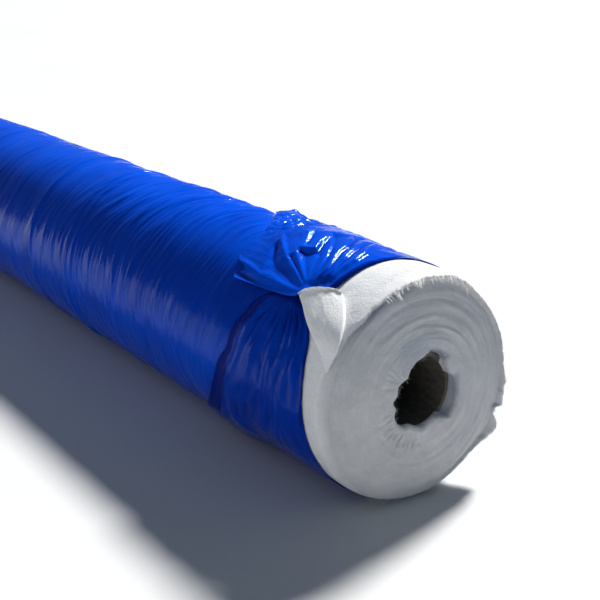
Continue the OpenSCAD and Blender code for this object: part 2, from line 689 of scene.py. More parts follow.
    # painted light: the lower part of the end takes the paler outside colour, as if lit from below
    outer = np.maximum(outer, 0.9 * around(165, 60, a) * smooth(0.100, 0.142, R) * (X > -0.03))
    painted_shade = painted_shade * (X > -0.05) * (X < 0.02)
    # painted shade: the outside is darkened over the top, where the key light falls
    painted_shade = np.maximum(painted_shade, 0.26 * outer * (1 - smooth(25, 62, np.abs((a + 180) % 360 - 180))))
    # painted shade: the pocket where the core's end lies bare
    painted_shade = painted_shade + (0.55 + 0.4 * (a > 300)) * bare * smooth(0.0665, 0.060, R) * (X > -0.02)
    return make(
        "felt_wound",
        P,
        grid_faces(*X.shape, closed=True),
        FELT,
        outside=outer,
        deep=np.clip(painted_shade, 0, 1),
    )


def felt_corner():
    """The loose corner of the outer turn, opened like a paper cone beside the bunched film."""
    left = [
        (0.00, -0.0060, 68.5, 0.1576),
        (0.14, -0.0178, 64.1, 0.1586),
        (0.28, -0.0306, 60.4, 0.1600),
        (0.42, -0.0440, 57.3, 0.1630),
        (0.56, -0.0604, 53.9, 0.1652),
        (0.70, -0.0767, 50.2, 0.1668),
        (0.84, -0.0940, 45.9, 0.1676),
        (1.00, -0.1136, 41.9, 0.1680),
    ]
    right = [
        (0.00, -0.0034, 68.1, 0.1575),
        (0.14, -0.0016, 62.0, 0.1580),
        (0.27, -0.0008, 58.3, 0.1588),
        (0.40, -0.0024, 54.1, 0.1596),
        (0.54, -0.0074, 49.2, 0.1605),
        (0.68, -0.0174, 43.5, 0.1612),
        (0.84, -0.0335, 37.6, 0.1622),
        (1.00, -0.0534, 32.0, 0.1635),
    ]
    mouth = [
        (0.00, -0.1136, 41.9, 0.1680),
        (0.09, -0.1108, 39.6, 0.1690),
        (0.25, -0.1010, 37.3, 0.1695),
        (0.50, -0.0866, 35.2, 0.1695),
        (0.72, -0.0722, 33.4, 0.1678),
        (0.88, -0.0628, 32.2, 0.1655),
        (1.00, -0.0534, 32.0, 0.1635),
    ]
    t = np.linspace(0, 1, 70)
    b = np.concatenate([[-0.10, -0.05, -0.02], np.linspace(0, 1, 62), [1.015, 1.03]])

    def line(x, pairs):
        return [curve(x, [(p[0], p[i]) for p in pairs]) for i in (1, 2, 3)]

    w = np.clip(b, 0, 1)
    T, W = t[:, None], w[None, :]
    belly = 4 * W * (1 - W)
    out = []
    for l, r, m in zip(line(t, left), line(t, right), line(w, mouth)):
        straight = l[-1] * (1 - W) + r[-1] * W
        out.append(l[:, None] * (1 - W) + r[:, None] * W + (m[None, :] - straight) * T**2.2)
    s, a, r = out
    # it stands off the roll most in its middle, with one soft crease and small dents
    r = r + 0.0042 * belly**0.45 * smooth(0.02, 0.45, T) * (1 - 0.9 * smooth(0.5, 1, T))
    r = r - 0.0007 * bump(0.30 + 0.06 * T, 0.22, W) * smooth(0.25, 0.5, T) * (1 - smooth(0.7, 1, T))
    r = r + 0.0004 * noise(W * 4 + 2 * T, T * 5, 91) * smooth(0.05, 0.3, T) * belly
    r = r + 0.00015 * noise(W * 11, T * 13, 93) * smooth(0.05, 0.3, T)
    # its long edges turn in towards the roll
    under_l = np.where(b < 0, -b / 0.10, 0)[None, :]
    under_r = np.where(b > 1, (b - 1) / 0.03, 0)[None, :]
    r = r - 0.0030 * under_l - (r - 0.1556) * under_r
    s = s + 0.0015 * np.sin(under_l * math.pi) - 0.0005 * under_l - 0.0015 * under_r
    P = place(s, a, r)
    # the mouth's edge rolls outwards into a thin hem
    top = P[-1]
    out_n = np.stack([0 * top[:, 0], top[:, 1], top[:, 2] - ZC], -1)
    out_n /= np.linalg.norm(out_n, axis=1, keepdims=True)
    up = P[-1] - P[-4]
    up /= np.linalg.norm(up, axis=1, keepdims=True)
    thick = (0.0010 + 0.0002 * noise(w * 9, 0 * w, 95) + 0.0006 * np.exp(-((w / 0.07) ** 2)))[:, None]
    hem = [
        top + up * thick * math.sin(f) + out_n * thick * (1 - math.cos(f))
        for f in np.linspace(0.12, 1.15, 9) * math.pi
    ]
    P = np.concatenate([P, np.array(hem)])
    # its paler felt is painted light, for light shining through the thin sheet
    return make("felt_corner", P, grid_faces(P.shape[0], P.shape[1], flip=True), PAINTED_LIGHT_FELT, outside=np.ones(P[..., 0].size))


def fibres():
    """Loose fibres along the rim, the bore and the corner, each a thin tapered triangular tube."""
    pts, faces = [], []
    sides, segs = 3, 4

    def fibre(p0, d0, droop, length, radius, wild=0.16, up=None):
        p, d = np.array(p0, float), np.array(d0, float)
        d /= np.linalg.norm(d)
        start = len(pts)
        line = [p]
        for _ in range(segs):
            d = d + droop + rng.normal(0, wild, 3)
            d /= np.linalg.norm(d)
            p = p + d * length / segs
            line.append(p)
        side = np.cross(d, [0.3, 0.5, 0.8])
        side /= np.linalg.norm(side)
        other = np.cross(d, side)
        if up is not None:
            side = np.cross(d, up)
            side /= np.linalg.norm(side)
            side, other = 0.4 * np.cross(side, d), side
        for i, q in enumerate(line):
            w = radius * (1 - 0.8 * i / segs)
            for j in range(sides):
                f = 2 * math.pi * j / sides
                pts.append(q + w * (math.cos(f) * side + math.sin(f) * other))
        for i in range(segs):
            for j in range(sides):
                k = (j + 1) % sides
                faces.append(
                    (
                        start + i * sides + j,
                        start + i * sides + k,
                        start + (i + 1) * sides + k,
                        start + (i + 1) * sides + j,
                    )
                )

    def at(s, a, r):
        return place(np.array(s), np.array(a), np.array(r))

    def axes(a):
        f = math.radians(a)
        n = np.array([0, -math.sin(f), math.cos(f)])
        tang = np.array([0, -math.cos(f), -math.sin(f)])
        return np.array([1.0, 0, 0]), n, tang

    def lip_r(a):
        return 0.1543 + 0.6 * float(ring_curve(a, BULGE))

    def lip_x(a):
        return float(lip_edge(np.array(a % 360.0)))

    # tufts that hang off the lip along the top of the rim, and finer fibres between them
    a = -34.0
    while a < 23:
        a += rng.uniform(0.9, 3.2)
        x, n, tang = axes(a)
        base = at(lip_x(a) - 0.0018, a, lip_r(a) + rng.uniform(0.0010, 0.0020))
        long_ = (0.0085 + rng.gamma(2.0, 0.0030)) * (0.6 + 0.4 * float(smooth(-34, -20, a)))
        d = x * rng.uniform(0.65, 0.95) - n * rng.uniform(0.35, 0.80) + tang * rng.normal(0, 0.28)
        tip = base + d / np.linalg.norm(d) * long_
        wide = rng.uniform(0.0007, 0.0014)
        for _ in range(9):
            q = base + tang * rng.normal(0, wide) + n * rng.normal(0, 0.0004)
            e = tip + tang * rng.normal(0, 0.0004) + n * rng.normal(0, 0.0003) - q
            fibre(q, e, -n * 0.03, np.linalg.norm(e) * rng.uniform(0.75, 1.05), rng.uniform(0.0004, 0.0007), 0.05, n)
    for _ in range(620):
        a = rng.uniform(-60, 30) if rng.uniform() < 0.88 else rng.uniform(30, 48)
        x, n, tang = axes(a)
        p = at(lip_x(a) - rng.uniform(0.0005, 0.0045), a, lip_r(a) + rng.uniform(-0.001, 0.0014))
        d = x * rng.uniform(0.3, 1) + n * rng.uniform(-0.8, 0.3) + tang * rng.normal(0, 0.5)
        fibre(p, d, -n * 0.12, rng.gamma(3, 0.0014), rng.uniform(0.00015, 0.00030), 0.12, n)
    # the rest of the rim
    for _ in range(1000):
        a = rng.uniform(150, 300)
        x, n, tang = axes(a)
        r = rng.uniform(0.150, 0.1562)
        r = r + float(torn(np.array(a)) * smooth(0.1440, 0.1535, r))
        p = at(rng.uniform(-0.010, 0.001), a, r)
        d = x * rng.uniform(0, 1) + n * rng.uniform(0.1, 0.9) + tang * rng.normal(0, 0.6)
        fibre(p, d, -n * 0.1, rng.gamma(2.5, 0.0011), 0.00015)
    # around the bore's lip
    for _ in range(420):
        a = rng.uniform(0, 360)
        x, n, tang = axes(a)
        r = float(ring_curve(a, BORE_RIM)) + rng.uniform(0.000, 0.004)
        p = at(0.011 + rng.uniform(-0.004, 0.001), a, r)
        d = -n * rng.uniform(0.3, 1) + x * rng.uniform(-0.5, 0.6) + tang * rng.normal(0, 0.6)
        fibre(p, d, -n * 0.1, rng.gamma(2.5, 0.0011), 0.00013)
    # torn tufts low on the far side of the rim
    for c, spread, n_ in ((240, 4.0, 120), (251.5, 1.5, 60), (262, 2.4, 60)):
        for _ in range(n_):
            a = rng.normal(c, spread)
            x, n, tang = axes(a)
            p = at(rng.uniform(-0.009, 0.001), a, rng.uniform(0.1535, 0.1562) + float(torn(np.array(a))))
            d = n * rng.uniform(0.2, 1) + x * rng.uniform(-0.3, 0.8) + tang * rng.normal(0, 0.7)
            fibre(p, d, 0 * n, rng.gamma(3, 0.0011), rng.uniform(0.0002, 0.0004))
    # short fuzz along the corner's mouth and long edges
    for _ in range(160):
        k = rng.uniform(0, 1)
        s, a, r = curve(k, [(0, -0.1064), (0.5, -0.0813), (1, -0.0609)]), 40 - 8 * k, 0.1735 - 0.007 * k**2
        x, n, tang = axes(float(a))
        d = -tang * rng.uniform(0.2, 1) + n * rng.normal(0.2, 0.5) + x * rng.normal(0, 0.6)
        fibre(at(float(s), float(a), float(r)), d, 0 * n, rng.gamma(2.5, 0.0009), 0.00014)
    P = np.array(pts)
    P[:, 2] = np.maximum(P[:, 2], 0.0006)
    # their paler felt is painted light, for light shining through the thin fibres
    return make("felt_fibres", P, faces, PAINTED_LIGHT_FELT, outside=np.ones(len(P)))


# ---------------------------------------------------------------- the film


def film_wrinkles(s, a):
    """How far the wrapped film stands off the roll: wrinkles that run round it, a little aslant."""
    t = a / 360
    # near the cuff they run aslant, drawn towards the bunched place
    slant = s + (0.012 + 0.040 * smooth(-1.15, -0.45, s)) * np.sin(np.radians(a))
    warp = 0.042 * noise(s * 3.1, t * 4, 201, 4) + 0.016 * noise(s * 9, t * 9, 202, 9)
    u = slant + warp
    big = ridges(noise(u * 13, t * 4, 203, 4), 1.6)
    mid = ridges(noise(u * 36 + 3, t * 6, 204, 6), 1.5)
    small = ridges(noise(u * 80 + 9, t * 10, 205, 10), 1.3)
    comb = noise(u * 95 + 5, t * 11, 209, 11)
    where = smooth(-0.5, 0.6, noise(s * 2.3, t * 3, 206, 3))
    # the cuff draws the film into stronger wrinkles over the top beside it
    drawn = smooth(-0.95, -0.42, s) * around(5, 75, a)
    h = 0.0013 * big + 0.0014 * mid * (0.35 + 0.65 * where + 1.15 * drawn)
    h = h + 0.0011 * small * (0.45 + 0.55 * where + 1.05 * drawn)
    h = h + 0.0005 * comb + 0.0010 * noise(s * 5, t * 5, 207, 5)
    # long creases where the film was pulled tight and overlaps itself
    for c, k, top, wide in (
        (-0.97, 0.030, 0.0024, 0.012),
        (-0.905, 0.022, 0.0014, 0.008),
        (-0.80, 0.026, 0.0022, 0.010),
        (-0.775, 0.020, 0.0016, 0.007),
        (-0.62, 0.030, 0.0012, 0.010),
        (-1.36, 0.030, 0.0018, 0.012),
        (-1.78, 0.030, 0.0018, 0.012),
    ):
        line = s - c - k * np.sin(np.radians(a)) - 0.008 * noise(t * 6, 0 * s + c * 9, 208, 0)
        d = line / wide
        h = h + top * np.where(d > 0, np.exp(-d * d * 8), np.exp(-d * d * 0.5))
    return h


# The turned-back end by angle: its turn at the opened end, and its free edge.
NEAR_EDGE = [
    (40, -0.118),
    (43, -0.112),
    (47, -0.098),
    (52, -0.076),
    (56, -0.065),
    (60, -0.058),
    (75, -0.047),
    (90, -0.042),
    (105, -0.040),
    (120, -0.038),
    (150, -0.039),
    (180, -0.041),
    (220, -0.046),
    (270, -0.050),
    (310, -0.050),
    (337, -0.055),
    (344, -0.061),
    (350, -0.066),
    (357, -0.070),
    (364, -0.0745),
    (370, -0.077),
    (381.7, -0.0775),
    (388, -0.079),
    (390.2, -0.083),
    (393, -0.095),
    (395.8, -0.110),
    (398, -0.117),
]
FREE_EDGE = [
    (40, -0.174),
    (50, -0.195),
    (57, -0.205),
    (64.6, -0.2145),
    (70, -0.2185),
    (76, -0.221),
    (81, -0.2255),
    (85, -0.234),
    (89, -0.243),
    (95, -0.2515),
    (102, -0.263),
    (111, -0.284),
    (119, -0.305),
    (128, -0.332),
    (139, -0.366),
    (160, -0.395),
    (180, -0.405),
    (220, -0.415),
    (260, -0.425),
    (300, -0.438),
    (325, -0.440),
    (337, -0.430),
    (349, -0.384),
    (362.5, -0.335),
    (374, -0.302),
    (383, -0.299),
    (386.5, -0.293),
    (388.5, -0.286),
    (389.6, -0.279),
    (391, -0.262),
    (392.5, -0.257),
    (394, -0.266),
    (395, -0.272),
    (396.5, -0.267),
    (398, -0.259),
]
# By angle, how far the turned-back end covers the wrap.
COVER = [
    (0, -0.345),
    (17, -0.300),
    (29, -0.285),
    (40, -0.270),
    (46, -0.229),
    (50, -0.195),
    (57, -0.205),
    (64.6, -0.2145),
    (70, -0.2185),
    (76, -0.221),
    (81, -0.2255),
    (85, -0.234),
    (89, -0.243),
    (95, -0.2515),
    (102, -0.263),
    (111, -0.284),
    (119, -0.305),
    (128, -0.332),
    (139, -0.366),
    (180, -0.405),
    (260, -0.425),
    (325, -0.440),
    (337, -0.430),
    (349, -0.384),
]


def wrap_film():
    # its two long edges lap low on the back, at LAP
    na = 132
    a = np.linspace(LAP, LAP + 372, na)
    L = XF - XN
    s = np.concatenate(
        [
            [-0.150, -0.165, -0.18],
            np.linspace(-0.19, -0.80, 292),
            np.linspace(-0.80, -1.20, 134)[1:],
            np.linspace(-1.20, -1.56, 110)[1:],
            np.linspace(-1.56, L + 0.016, 165)[1:],
        ]
    )
    S, A = np.meshgrid(s, a, indexing="ij")
    far = smooth(L + 0.14, L + 0.016, S)
    R = R_FILM + film_wrinkles(S, A) * (1 - 0.45 * far) - 0.0006
    # under the cuff it lies close
    under = smooth(-0.022, 0.012, S - ring_curve(A, COVER))
    R = R * (1 - under) + (R_FILM - 0.0008) * under
    over = smooth(LAP + 352, LAP + 360, A)
    R = R + 0.0009 * over
    # pleats that the fold-in at the far end pulls into the last of the wrap
    pl = A / 360 * 26 + 0.9 * noise(A / 360 * 9, 0 * A + 1.7, 221, 0)
    saw = pl - np.floor(pl)
    pleat = np.where(saw < 0.78, saw / 0.78, (1 - saw) / 0.22)
    R = R + 0.0022 * far * (pleat - 0.4)
    # round the far edge and in over the end, in pleats that overlap one way
    end_r, end_x = [], []
    for t in np.linspace(0.12, 1, 8):
        end_r.append(0.1425 + 0.0158 * math.cos(math.pi / 2 * t))
        end_x.append(L + 0.0142 - 0.0158 * math.sin(math.pi / 2 * t))
    for r in np.linspace(0.1400, 0.0585, 34):
        end_r.append(r)
        end_x.append(L - 0.0018)
    end_r, end_x = np.array(end_r)[:, None], np.array(end_x)[:, None]
    depth = smooth(0.1583, 0.135, end_r)
    twist = A[:1] + 26 * (0.142 - np.minimum(end_r, 0.142)) / 0.084
    pl = A[:1] / 360 * 26 + 0.9 * noise(A[:1] / 360 * 9, 0 * A[:1] + 1.7, 221, 0)
    saw = pl - np.floor(pl)
    pleat = np.where(saw < 0.78, saw / 0.78, (1 - saw) / 0.22)
    fold = (0.0022 + 0.0024 * smooth(0.14, 0.07, end_r)) * (pleat - 0.4)
    fold = fold + 0.0012 * noise(end_r * 60, A[:1] / 360 * 30, 222, 30)
    ragged = smooth(0.075, 0.0585, end_r)
    er = end_r + fold * (1 - depth) + ragged * (
        0.004 * noise(A[:1] / 360 * 14, 0 * A[:1] + 2, 223, 0) - 0.001
    )
    ex = end_x - np.maximum(fold * depth, -0.0012) - 0.004 * ragged * smooth(
        0, 0.6, noise(A[:1] / 360 * 20, 0 * A[:1] + 5, 224, 0)
    )
    s_all = np.concatenate([S, ex + 0 * A[:1]])
    r_all = np.concatenate([R, er + 0 * A[:1]])
    a_all = np.concatenate([A, twist + 0 * er])
    P = place(s_all, a_all, r_all)
    P[..., 2] = np.maximum(P[..., 2], 0.0006)
    along = np.concatenate([S, np.repeat(L - (0.156 - end_r), na, 1)])
    flat = np.stack([along, np.radians(np.concatenate([A, A[:1] + 0 * er])) * 0.158, 0 * along], -1)
    # painted shade: a deeper blue just beside the cuff's edge, and over the side turned away from the key light, most
    # just past where its light ends
    gap = S - ring_curve(A, COVER)
    deep = 0.75 * smooth(-0.013, -0.001, gap) * around(85, 60, A)
    deep = np.maximum(deep, np.maximum(0.60 * around(60, 48, A), 0.20 * around(110, 70, A)))
    deep = np.concatenate([deep, 0 * er + 0 * A[:1]])
    return make("film_wrap", P, grid_faces(*s_all.shape), FILM, flat, deep=deep)


# Folds of the film above the bunched place, which lies at about (-118, 38). Each line is a run of
# (mm behind the rim, angle, mm off the wrap), and the film is flat between neighbouring lines.
FOLDS = [
    # the loose ear: below it, its lower edge, the valley over that, its upper crest and valley
    [(-105, 46.5, 8), (-131, 48.5, 8), (-186, 50, 8.5), (-262, 51, 9.5)],
    [(-110, 42.8, 8.5), (-135, 44.3, 8), (-168, 45.3, 8), (-203, 46.0, 8.5), (-232, 46.4, 9.5), (-262, 46.7, 9.5)],
    [(-134, 42.6, 7.5), (-178, 44.0, 7), (-211, 45.0, 6.5), (-242, 44.1, 4.0), (-275, 43.1, 3.0)],
    [(-119, 40.5, 8.2), (-159, 40.4, 9.2), (-193, 40.3, 10), (-216, 40.1, 10.5), (-238, 38.9, 10.5), (-262, 37.6, 9.5), (-282, 37.2, 8)],
    [(-215, 38.4, 8.8), (-247, 35.9, 7), (-270, 34.9, 6), (-295, 34.0, 5.5)],
    [(-285, 20.9, 6), (-295, 25.2, 6), (-302, 29.4, 6)],
    [(-250, 21.5, 9), (-236, 28.2, 8.5), (-227, 33.3, 8.5), (-215, 38.4, 8.8)],
    # the small fold and the pocket between the ear and the fan
    [(-214, 38.7, 9.3), (-208, 35.1, 5.5), (-189, 36.5, 6), (-163, 38.6, 7.2), (-124, 39.4, 8)],
    [(-211, 39.3, 10.3), (-192, 38.6, 9.8), (-162, 39.5, 9.1)],
    [(-239, 23.4, 5), (-226, 28.2, 4), (-209, 32.3, 4), (-176, 35.0, 4.8), (-145, 37.6, 6.2), (-123, 38.4, 7.6)],
    # the fan from left to right
    [(-246, 17.6, 14.5), (-221, 22.3, 14.5), (-201, 25.6, 13.5), (-183, 27.8, 11), (-159, 31.0, 10.5), (-135, 34.6, 9.5), (-121, 37.0, 8)],
    [(-247, 13.7, 10.5), (-218, 20.0, 10.8), (-199, 24.3, 11)],
    [(-201, 25.6, 13.5), (-199, 24.3, 11), (-189, 22.2, 13.5)],
    [(-193, 25.6, 8), (-166, 29.1, 7.2), (-139, 33.2, 7.8), (-122, 36, 8)],
    [(-207, 16.6, 13.5), (-189, 22.2, 13.5), (-164, 26.9, 12), (-143, 30.9, 11), (-125, 34.3, 9.5)],
    [(-207, 16.6, 13.5), (-196, 18.2, 14.8), (-184, 17.5, 14.8), (-171, 15.0, 14.5)],
    [(-188, 20.3, 7), (-178, 20.2, 6.8), (-169, 18.8, 6.8), (-162, 16.5, 7.5)],
    [(-178, 20.2, 6.8), (-151, 26.6, 8), (-126, 33.1, 8.5)],
    [(-171, 15.0, 14.5), (-153, 20.0, 10.6), (-138, 27.0, 10), (-124, 33.0, 9.2)],
    [(-177, 9.4, 9), (-148, 18.8, 8), (-133, 26.5, 8), (-121, 32.3, 8)],
    [(-195, -0.4, 13), (-161, 9.0, 12.5), (-142, 16.4, 12), (-129, 22.7, 11.5), (-121, 27.5, 10.5), (-115, 32.6, 9)],
    [(-191, -1.2, 9.5), (-157, 8.2, 9), (-138, 15.6, 8.6), (-125, 22.0, 8.3), (-117, 26.8, 8.2), (-112, 32.2, 8)],
    [(-215, -20, 11), (-184, -10, 12), (-162, -2.9, 13.5), (-143, 4.6, 13.8), (-134, 11.2, 13.4), (-118, 19.6, 13), (-110, 24.2, 13), (-108, 30.0, 12.6)],
    [(-180, -11, 8.8), (-158, -3.6, 9), (-139, 3.9, 9), (-130, 10.4, 8.8), (-114, 18.8, 8.6), (-106, 23.4, 8.5), (-104, 29.3, 8.3)],
    [(-180, -20, 9.5), (-150, -8, 11.5), (-131, 1.4, 12.5), (-123, 6.1, 13), (-113, 12.8, 13), (-107, 18.9, 12.5), (-101, 23.2, 12.4), (-97.5, 26.4, 12)],
    [(-146, -8.8, 8.4), (-127, 0.6, 8.8), (-119, 5.3, 8.7), (-109, 12.0, 8.5), (-103, 18.1, 8.4), (-97, 22.4, 8.2), (-93.5, 26.8, 7.5)],
    [(-148, -16.8, 10), (-120, -3.7, 12), (-103, 4.1, 12.5), (-94, 12.1, 12.5), (-92, 17.6, 12), (-91.5, 22.9, 11), (-90, 26.5, 10)],
    [(-125, -20, 7.2), (-116, -4.6, 8.5), (-99, 3.2, 8.2), (-89.5, 11.2, 7.8), (-87.5, 17.0, 7.2), (-87, 22.3, 6.6), (-85, 26.0, 6.2)],
    [(-117, 34.5, 6.5), (-107, 33.2, 5.5), (-97, 30.5, 5.2), (-87, 28.6, 5.2)],
    # the rest of the pleats beyond the top
    [(-262, -50, 7), (-236, -30, 11), (-215, -20, 11)],
    [(-235, -50, 7), (-205, -33, 9.5), (-180, -20, 9.5)],
    [(-208, -50, 6.5), (-175, -33, 8), (-148, -16.8, 10)],
    [(-170, -50, 5), (-125, -20, 7.2)],
    # the turn at the opened end, and just beyond it
    [(-116, 41, 8.5), (-110, 39.2, 8), (-95, 36.5, 7), (-82, 33.5, 5.5), (-78, 31, 5), (-77.5, 24, 5), (-77, 17.8, 5), (-77, 10.7, 5), (-74.5, 4, 5.3), (-70, -3, 6.6), (-66, -10, 8.0), (-61, -16, 8.0), (-55, -23, 7), (-50, -50, 2)],
    [(-104, 41.5, 8), (-85, 38.5, 6), (-70, 33, 5), (-68, 20, 5), (-66, 6, 5), (-55, -10, 7.5), (-42, -25, 7), (-38, -50, 2)],
    # the flat place over the pocket, and the bulge over the top
    [(-226, 5.7, 17.5), (-209, 11.8, 14.8), (-202, 14.4, 14.2), (-196, 18.2, 14.8)],
    [(-222.5, 3.2, 13.8), (-204.5, 9.7, 10.8), (-194, 14.0, 11.2)],
    [(-210, -1.2, 14.5), (-187, 7.6, 15), (-171, 15.0, 14.5)],
    [(-226, 5.7, 17.5), (-224, 1.2, 14), (-210, -1.2, 14.5)],
    [(-240, -12, 11.5), (-224, 1.2, 14)],
    [(-196, -2, 10), (-177, 8.2, 9)],
    [(-259, 13.4, 13), (-257, 8.6, 13), (-253, 4.8, 14), (-254, -2.6, 13), (-262, -11, 11.5), (-280, -23, 11), (-295, -50, 7)],
    [(-268, 12, 11), (-268, 5, 11), (-275, -5, 10.5), (-288, -14, 9.5), (-300, -23, 9.8)],
    [(-279, 11.4, 11), (-281, 5.4, 13), (-292, -2.3, 14), (-305, -10, 12.5), (-320, -23, 11), (-335, -50, 7)],
    [(-300, 9, 8), (-304, 0, 9.5), (-322, -9, 9.5), (-348, -23, 9), (-365, -50, 5.5)],
    [(-316, 4.9, 10), (-324, -1.2, 12.5), (-340, -8, 13.5), (-362, -16, 13), (-383, -23, 15), (-400, -38, 10), (-405, -55, 7)],
    [(-340, 0, 7.5), (-372, -10.5, 8), (-410, -23, 9.5), (-425, -40, 6)],
    # the free edge, and just beyond it
    [(-302, 29.4, 6), (-305, 17.4, 5.5), (-335, 3.2, 5), (-384, -10.9, 4.5), (-432, -23, 3.5), (-442, -50, 4), (-442, -80, 4)],
    [(-315, 34, 5.5), (-318, 28, 5), (-330, 17, 5), (-360, 3, 4.5), (-405, -11, 4), (-460, -25, 3.5), (-465, -80, 4)],
    [(-50, -80, 4), (-110, -80, 5), (-170, -80, 5), (-230, -80, 5), (-300, -80, 5), (-370, -80, 5), (-442, -80, 4)],
]


def folded(s, a):
    """Heights in metres at s and angle a on the flat facets between FOLDS."""
    at, height, edges = [], [], []
    for line in FOLDS:
        first = len(at)
        at += [Vector((x, y * 2.78)) for x, y, _ in line]
        height += [h for _, _, h in line]
        edges += [(first + i, first + i + 1) for i in range(len(line) - 1)]
    spots, _, faces, given, _, _ = delaunay_2d_cdt(at, edges, [], 0, 0.01)
    q = np.array([(v.x, v.y) for v in spots])
    own = np.array([(v.x, v.y) for v in at])
    hs = np.array(height)
    hq = np.zeros(len(q))
    for i, ids in enumerate(given):
        if ids:
            hq[i] = hs[list(ids)].mean()
        else:
            d = 1 / (0.1 + ((own - q[i]) ** 2).sum(1))
            hq[i] = (hs * d**2).sum() / (d**2).sum()
    x, y = s.ravel() * 1000, a.ravel() * 2.78
    out = np.full(x.shape, np.nan)
    for i, j, k in faces:
        (x0, y0), (x1, y1), (x2, y2) = q[i], q[j], q[k]
        det = (y1 - y2) * (x0 - x2) + (x2 - x1) * (y0 - y2)
        if abs(det) < 1e-9:
            continue
        near = np.nonzero(
            (x >= min(x0, x1, x2) - 0.01)
            & (x <= max(x0, x1, x2) + 0.01)
            & (y >= min(y0, y1, y2) - 0.01)
            & (y <= max(y0, y1, y2) + 0.01)
        )[0]
        u = ((y1 - y2) * (x[near] - x2) + (x2 - x1) * (y[near] - y2)) / det
        v = ((y2 - y0) * (x[near] - x2) + (x0 - x2) * (y[near] - y2)) / det
        inside = (u >= -1e-6) & (v >= -1e-6) & (u + v <= 1 + 1e-6)
        ids = near[inside]
        out[ids] = (u * hq[i] + v * hq[j] + (1 - u - v) * hq[k])[inside]
    for i in np.nonzero(np.isnan(out))[0]:
        out[i] = hs[((own - (x[i], y[i])) ** 2).sum(1).argmin()]
    return out.reshape(s.shape) / 1000


def relax(h, times):
    """Takes the sharpness out of creases by one mesh step each time."""
    for _ in range(times):
        for ax in (0, 1):
            g = np.moveaxis(h, ax, 0).copy()
            g[1:-1] = 0.25 * g[:-2] + 0.5 * g[1:-1] + 0.25 * g[2:]
            h = np.moveaxis(g, 0, ax)
    return h


